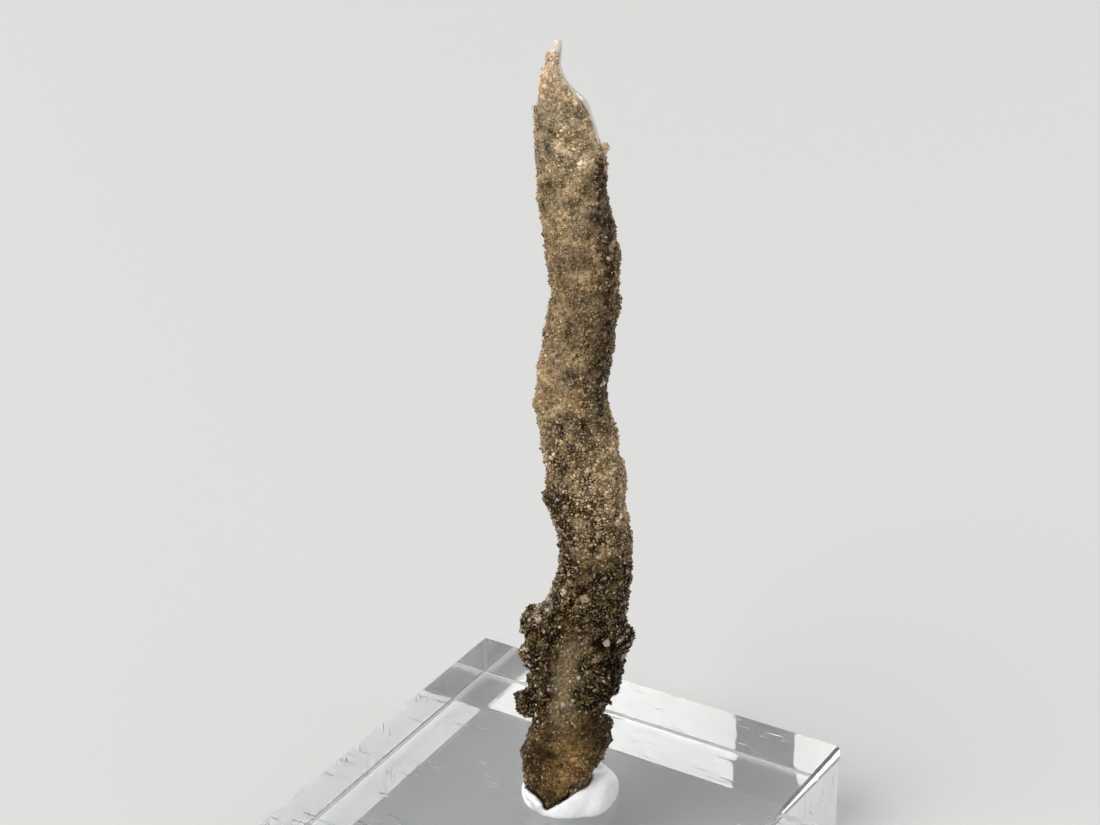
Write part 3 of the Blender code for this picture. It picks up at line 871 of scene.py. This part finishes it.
# Fine structure, as a scale of the noise in each metre.
SKIN_GRIT_SCALE = 3100.0
GLASS_CLOUD_SCALE = 1100.0
GRAIN_CLOUD_SCALE = 4000.0
SMEAR_SCALE = 420.0
DENT_SCALE = 1300.0
SCRATCHED_PATCH_SCALE = 110.0
CLOUD = (0.3, 0.7)  # the range of a cloudy noise that counts
# The putty's smears: where each colour stands in the noise.
SMEARS = ((0.3, (0.76, 0.78, 0.79)), (0.62, (0.9, 0.9, 0.9)))
# The scratches' directions, as turns round the block's three axes, and their stretch.
SCRATCH_TURNS = ((0.55, 0.0, 0.25), (-0.7, 0.3, 1.1), (0.95, -0.4, -0.7))
SCRATCH_STRETCH = (170.0, 2300.0, 170.0)
SCRATCH_EDGE = (0.71, 0.77)
SCRATCHED_PATCH = (0.5, 0.58)
SCRATCH_ROUGHNESS = 0.5
BEVEL_ROUGHNESS = 0.45
BEVEL_FACING = (0.9, 0.95)  # a bevel's normal has no part as large as this


def new_material(name, fixed):
    """A material and its shader, with the sockets that are the same all over the surface."""
    material = bpy.data.materials.new(name)
    material.use_nodes = True
    shader = material.node_tree.nodes["Principled BSDF"]
    for socket, value in fixed.items():
        shader.inputs[socket].default_value = value
    return material, material.node_tree, shader


def node(tree, kind, **values):
    """A node with its properties or inputs set by name."""
    made = tree.nodes.new(kind)
    for key, value in values.items():
        if key in made.inputs:
            made.inputs[key].default_value = value
        else:
            setattr(made, key, value)
    return made


def on_object(tree, kind, **values):
    """A texture node that is fixed to the object."""
    made = node(tree, kind, **values)
    place = node(tree, "ShaderNodeTexCoord")
    tree.links.new(place.outputs["Object"], made.inputs["Vector"])
    return made


def math_node(tree, operation, *values):
    made = node(tree, "ShaderNodeMath", operation=operation)
    for value, socket in zip(values, made.inputs):
        tree.links.new(value, socket)
    return made.outputs["Value"]


def largest_of(tree, values):
    largest = values[0]
    for value in values[1:]:
        largest = math_node(tree, "MAXIMUM", largest, value)
    return largest


def map_range(tree, value, start, end):
    """A value that goes from one number of start to the other, carried over to those of end."""
    made = node(tree, "ShaderNodeMapRange")
    for socket, number in zip(("From Min", "From Max", "To Min", "To Max"), (*start, *end)):
        made.inputs[socket].default_value = number
    tree.links.new(value, made.inputs["Value"])
    return made.outputs["Result"]


def colour_by_crust(tree, shader, factor):
    """Gives the shader the mesh's own crust colours, times a factor."""
    colour = node(tree, "ShaderNodeAttribute", attribute_name="crust")
    tone = node(tree, "ShaderNodeVectorMath", operation="SCALE")
    tree.links.new(colour.outputs["Color"], tone.inputs[0])
    tree.links.new(factor, tone.inputs["Scale"])
    tree.links.new(tone.outputs["Vector"], shader.inputs["Base Color"])


def add_bump(tree, shader, height, **values):
    bump = node(tree, "ShaderNodeBump", **values)
    tree.links.new(height, bump.inputs["Height"])
    tree.links.new(bump.outputs["Normal"], shader.inputs["Normal"])
    return bump


def crust_material():
    """The tube's skin: the crust's colours and fine grit, which fade out towards bare glass."""
    fixed = {"Roughness": 0.5, "Specular IOR Level": 0.06}
    material, tree, shader = new_material("fused_crust", fixed)
    link = tree.links.new
    glassy = node(tree, "ShaderNodeAttribute", attribute_name="glassy")
    crusted = map_range(tree, glassy.outputs["Fac"], WHOLE, (1.0, 0.0))
    grit = on_object(tree, "ShaderNodeTexVoronoi", Scale=SKIN_GRIT_SCALE)
    each = node(tree, "ShaderNodeSeparateColor")
    link(grit.outputs["Color"], each.inputs["Color"])
    varied = node(tree, "ShaderNodeMix", data_type="FLOAT", A=1.0)
    link(crusted, varied.inputs["Factor"])
    link(map_range(tree, each.outputs["Red"], WHOLE, (0.5, 1.55)), varied.inputs["B"])
    colour_by_crust(tree, shader, varied.outputs["Result"])
    bump = add_bump(tree, shader, grit.outputs["Distance"], Distance=0.14 * MM, invert=True)
    link(crusted, bump.inputs["Strength"])
    return material


def glass_material():
    """The fused glass of the bore and the broken edge: glossy, faintly wavy and cloudy."""
    fixed = {
        "Roughness": 0.16,
        "Specular IOR Level": 0.5,
        "Subsurface Weight": 0.2,
        "Subsurface Scale": 0.0006,
        "Subsurface Radius": (1.0, 0.95, 0.85),
    }
    material, tree, shader = new_material("bore_glass", fixed)
    cloud = on_object(tree, "ShaderNodeTexNoise", Scale=GLASS_CLOUD_SCALE, Detail=3.0)
    cloud = cloud.outputs["Fac"]
    colour_by_crust(tree, shader, map_range(tree, cloud, CLOUD, (0.86, 1.1)))
    add_bump(tree, shader, cloud, Strength=0.5, Distance=0.08 * MM)
    return material


def grain_material():
    """Sand grains coated in thin glass: each grain's own colour, and glossy facets."""
    fixed = {
        "Roughness": 0.25,
        "Specular IOR Level": 0.35,
        "Specular Tint": (1.0, 0.9, 0.75, 1.0),
    }
    material, tree, shader = new_material("sand_grain", fixed)
    cloud = on_object(tree, "ShaderNodeTexNoise", Scale=GRAIN_CLOUD_SCALE, Detail=2.0)
    colour_by_crust(tree, shader, map_range(tree, cloud.outputs["Fac"], CLOUD, (0.75, 1.25)))
    return material


def putty_material():
    """Matte white putty with faint grey smears, dents, and painted shade and sand dirt by the
    specimen.
    """
    fixed = {
        "Roughness": 0.65,
        "Specular IOR Level": 0.3,
        "Subsurface Weight": 0.15,
        "Subsurface Scale": 0.0006,
        "Subsurface Radius": (0.9, 0.95, 1.0),
    }
    material, tree, shader = new_material("white_putty", fixed)
    link = tree.links.new
    smear = on_object(tree, "ShaderNodeTexNoise", Scale=SMEAR_SCALE, Detail=4.0, Roughness=0.55)
    ramp = node(tree, "ShaderNodeValToRGB")
    for element, (position, colour) in zip(ramp.color_ramp.elements, SMEARS):
        element.position = position
        element.color = (*colour, 1.0)
    link(smear.outputs["Fac"], ramp.inputs["Fac"])
    # Mostly painted shade of the gap, with some sand dirt, on the putty beside the specimen.
    shade_and_dirt = node(tree, "ShaderNodeAttribute", attribute_name="shade_and_dirt")
    shade_and_dirt_mix = node(tree, "ShaderNodeMix", data_type="RGBA")
    shade_and_dirt_mix.inputs["B"].default_value = (*GAP_SHADE_AND_DIRT, 1.0)
    link(shade_and_dirt.outputs["Fac"], shade_and_dirt_mix.inputs["Factor"])
    link(ramp.outputs["Color"], shade_and_dirt_mix.inputs["A"])
    link(shade_and_dirt_mix.outputs["Result"], shader.inputs["Base Color"])
    dents = on_object(tree, "ShaderNodeTexNoise", Scale=DENT_SCALE, Detail=4.0, Roughness=0.6)
    add_bump(tree, shader, dents.outputs["Fac"], Strength=0.5, Distance=0.14 * MM)
    return material


def bevel_roughness(tree):
    """The roughness of the sanded bevels, which face along none of the block's three axes."""
    face = node(tree, "ShaderNodeNewGeometry")
    parts = node(tree, "ShaderNodeSeparateXYZ")
    tree.links.new(face.outputs["True Normal"], parts.inputs["Vector"])
    sizes = [math_node(tree, "ABSOLUTE", parts.outputs[axis]) for axis in "XYZ"]
    return map_range(tree, largest_of(tree, sizes), BEVEL_FACING, (BEVEL_ROUGHNESS, 0.0))


def hairlines(tree, turn):
    """1 on thin lines that all run one way, 0 between them."""
    stretch = on_object(tree, "ShaderNodeMapping", Rotation=turn, Scale=SCRATCH_STRETCH)
    hair = node(tree, "ShaderNodeTexNoise", Scale=1.0, Detail=1.0)
    tree.links.new(stretch.outputs["Vector"], hair.inputs["Vector"])
    return map_range(tree, hair.outputs["Fac"], SCRATCH_EDGE, WHOLE)


def acrylic_material():
    """Clear cast acrylic with hairline scratches and sanded bevels."""
    fixed = {
        "Base Color": (0.97, 0.985, 0.985, 1.0),
        "Transmission Weight": 1.0,
        "IOR": 1.49,
    }
    material, tree, shader = new_material("clear_acrylic", fixed)
    patches = on_object(tree, "ShaderNodeTexNoise", Scale=SCRATCHED_PATCH_SCALE, Detail=1.0)
    patches = map_range(tree, patches.outputs["Fac"], SCRATCHED_PATCH, WHOLE)
    lines = largest_of(tree, [hairlines(tree, turn) for turn in SCRATCH_TURNS])
    scratch = math_node(tree, "MULTIPLY", lines, patches)
    haze = map_range(tree, scratch, WHOLE, (0.0, SCRATCH_ROUGHNESS))
    rough = largest_of(tree, [haze, bevel_roughness(tree)])
    tree.links.new(rough, shader.inputs["Roughness"])
    add_bump(tree, shader, scratch, Strength=0.6, Distance=0.03 * MM, invert=True)
    return material


# ---- putty ----
PUTTY_VOXEL = 0.2 * MM
PUTTY_SMOOTHING = 6
# The dark gap left round the specimen, in millimetres: at the back, on the left and on the right.
GAP_BACK = 0.12
GAP_LEFT = 0.22
GAP_RIGHT = 0.4
# The range of x over which left turns into right, and of y over which the front ends.
GAP_SIDES = (-2.0, 2.0)
GAP_ENDS = (-3.0, -1.0)
# How far from the specimen the putty is drawn to it a little, and in full.
PULL_REACH = (1.0, 0.5)
PULL_FACING = (0.1, 0.6)  # and how squarely it faces it
# How high above its seat the putty is drawn down to the block a little, and in full.
SEAT_REACH = (1.2, 0.2)
SHADE_AND_DIRT_REACH = (0.65, 0.4)  # how far from the specimen the painted shade and dirt start, and are full
# The putty's unevenness: the length and the height of each noise, and the first noise's seed.
KNEADED = ((1.5, 0.07), (0.55, 0.03))
KNEADING_SEED = 20.0


def wanted_gap(x, y):
    """The gap that is left round the specimen at a place, in millimetres."""
    side = GAP_LEFT + (GAP_RIGHT - GAP_LEFT) * smoothstep(*GAP_SIDES, x)
    return side + (GAP_BACK - side) * smoothstep(*GAP_ENDS, y)


def draw_to_specimen(points, normals, tree):
    """Moves the putty's points up to the specimen, and returns each one's painted shade and dirt."""
    shade_and_dirt = np.zeros(len(points))
    places = specimen_mm(points)
    for i, point in enumerate(points):
        near, _, _, distance = tree.find_nearest(Vector(point))
        gap = distance / MM
        wanted = wanted_gap(places[i, 0], places[i, 1])
        way = (np.array(near) - point) / distance
        facing = smoothstep(*PULL_FACING, way @ normals[i])
        if wanted < gap < PULL_REACH[0]:
            pull = facing * smoothstep(*PULL_REACH, gap) * (gap - wanted)
            points[i] += way * pull * MM
            gap -= pull
        # Painted shade, with some sand dirt, on putty that faces the specimen closely.
        shade_and_dirt[i] = facing * smoothstep(*SHADE_AND_DIRT_REACH, gap)
    return shade_and_dirt


def make_putty(solid, specimen, block_top):
    """The dab of putty, closed up to the specimen and to the block."""
    putty = add_object("putty_dab", solid.data.copy())
    remesh_and_smooth(putty, PUTTY_VOXEL, PUTTY_SMOOTHING)
    mesh = putty.data
    points = coordinates(mesh)
    normals = vertex_normals(mesh)
    shade_and_dirt = draw_to_specimen(points, normals, surface_tree(specimen.data))
    places = specimen_mm(points)
    for seed, (length, height) in enumerate(KNEADED):
        uneven = swirl(places, length, KNEADING_SEED + seed) * (1.0 - shade_and_dirt) * height
        points += normals * (uneven * MM)[:, None]
    seat = points[:, 2].min()
    drop = smoothstep(seat + SEAT_REACH[0] * MM, seat + SEAT_REACH[1] * MM, points[:, 2])
    points[:, 2] -= drop * (seat - block_top)
    set_coordinates(mesh, points)
    add_value_attribute(mesh, "shade_and_dirt", shade_and_dirt)
    mesh.shade_smooth()
    mesh.materials.clear()
    mesh.materials.append(putty_material())
    return putty


# ---- the room ----
FLOOR_SIZE = 30.0
FLOOR_GAP = 0.0003  # the air under the block
FLOOR = {"Base Color": (0.56, 0.56, 0.555, 1.0), "Roughness": 0.6}
AIR = ((0.95, 0.96, 0.97, 1.0), 0.25)  # the colour and the strength of the light from all round
# The lights: name, the direction that each comes from, its width in degrees, strength and colour.
LIGHTS = (
    ("key", (-0.36, -0.32, 0.49), 39.0, 2.75, (1.0, 0.985, 0.96)),
    ("fill", (0.55, -0.4, 0.24), 48.0, 0.5, (1.0, 1.0, 1.0)),
    ("left_rim", (-0.4, 0.42, 0.29), 30.0, 1.6, (1.0, 1.0, 1.0)),
    ("right_rim", (0.45, 0.35, 0.34), 30.0, 1.1, (1.0, 1.0, 1.0)),
)
CAMERA_TURN = math.radians(30.727)
CAMERA_DOWN = math.radians(25.788)
CAMERA_PLACE = (0.13555, -0.22885, 0.19021)
FOCAL_LENGTH = 87.87
SENSOR_WIDTH = 36.0
CLIP_START = 0.01


def make_floor():
    bpy.ops.mesh.primitive_plane_add(size=FLOOR_SIZE)
    floor = bpy.context.object
    floor.name = "floor"
    floor.location.z = -FLOOR_GAP
    floor.data.materials.append(new_material("pale_floor", FLOOR)[0])


def make_light(name, origin, width_deg, strength, colour):
    """A far, broad light that comes from a direction in the specimen's frame."""
    light = bpy.data.lights.new(name, "SUN")
    light.angle = math.radians(width_deg)
    light.energy = strength
    light.color = colour
    made = add_object(name, light)
    direction = Matrix.Rotation(SPECIMEN_TURN, 3, "Z") @ Vector(origin)
    made.rotation_euler = direction.to_track_quat("Z", "Y").to_euler()


def make_camera():
    camera = bpy.data.cameras.new("camera")
    camera.lens = FOCAL_LENGTH
    camera.sensor_width = SENSOR_WIDTH
    camera.clip_start = CLIP_START
    made = add_object("camera", camera)
    made.location = CAMERA_PLACE
    made.rotation_euler = (math.pi / 2 - CAMERA_DOWN, 0.0, CAMERA_TURN)
    bpy.context.scene.camera = made


def light_the_room():
    for light in LIGHTS:
        make_light(*light)
    bpy.context.scene.view_settings.view_transform = "Standard"
    world = bpy.data.worlds.new("studio")
    bpy.context.scene.world = world
    world.use_nodes = True
    background = world.node_tree.nodes["Background"]
    background.inputs["Color"].default_value = AIR[0]
    background.inputs["Strength"].default_value = AIR[1]


def main():
    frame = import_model()
    nodes = frame["nodes"]
    putty_at = surface_tree(nodes["putty"].data)
    body, bore, rim = make_body(nodes["fulgurite"], putty_at)
    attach(body, "root")
    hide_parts("fulgurite")
    for grains in make_grains(body, bore, rim, putty_at):
        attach(grains, "root")
    block_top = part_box("display_block")[1].z
    putty = make_putty(nodes["putty"], body, block_top)
    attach(putty, "root")
    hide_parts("putty")
    nodes["display_block"].data.materials.clear()
    nodes["display_block"].data.materials.append(acrylic_material())
    make_floor()
    light_the_room()
    make_camera()


main()
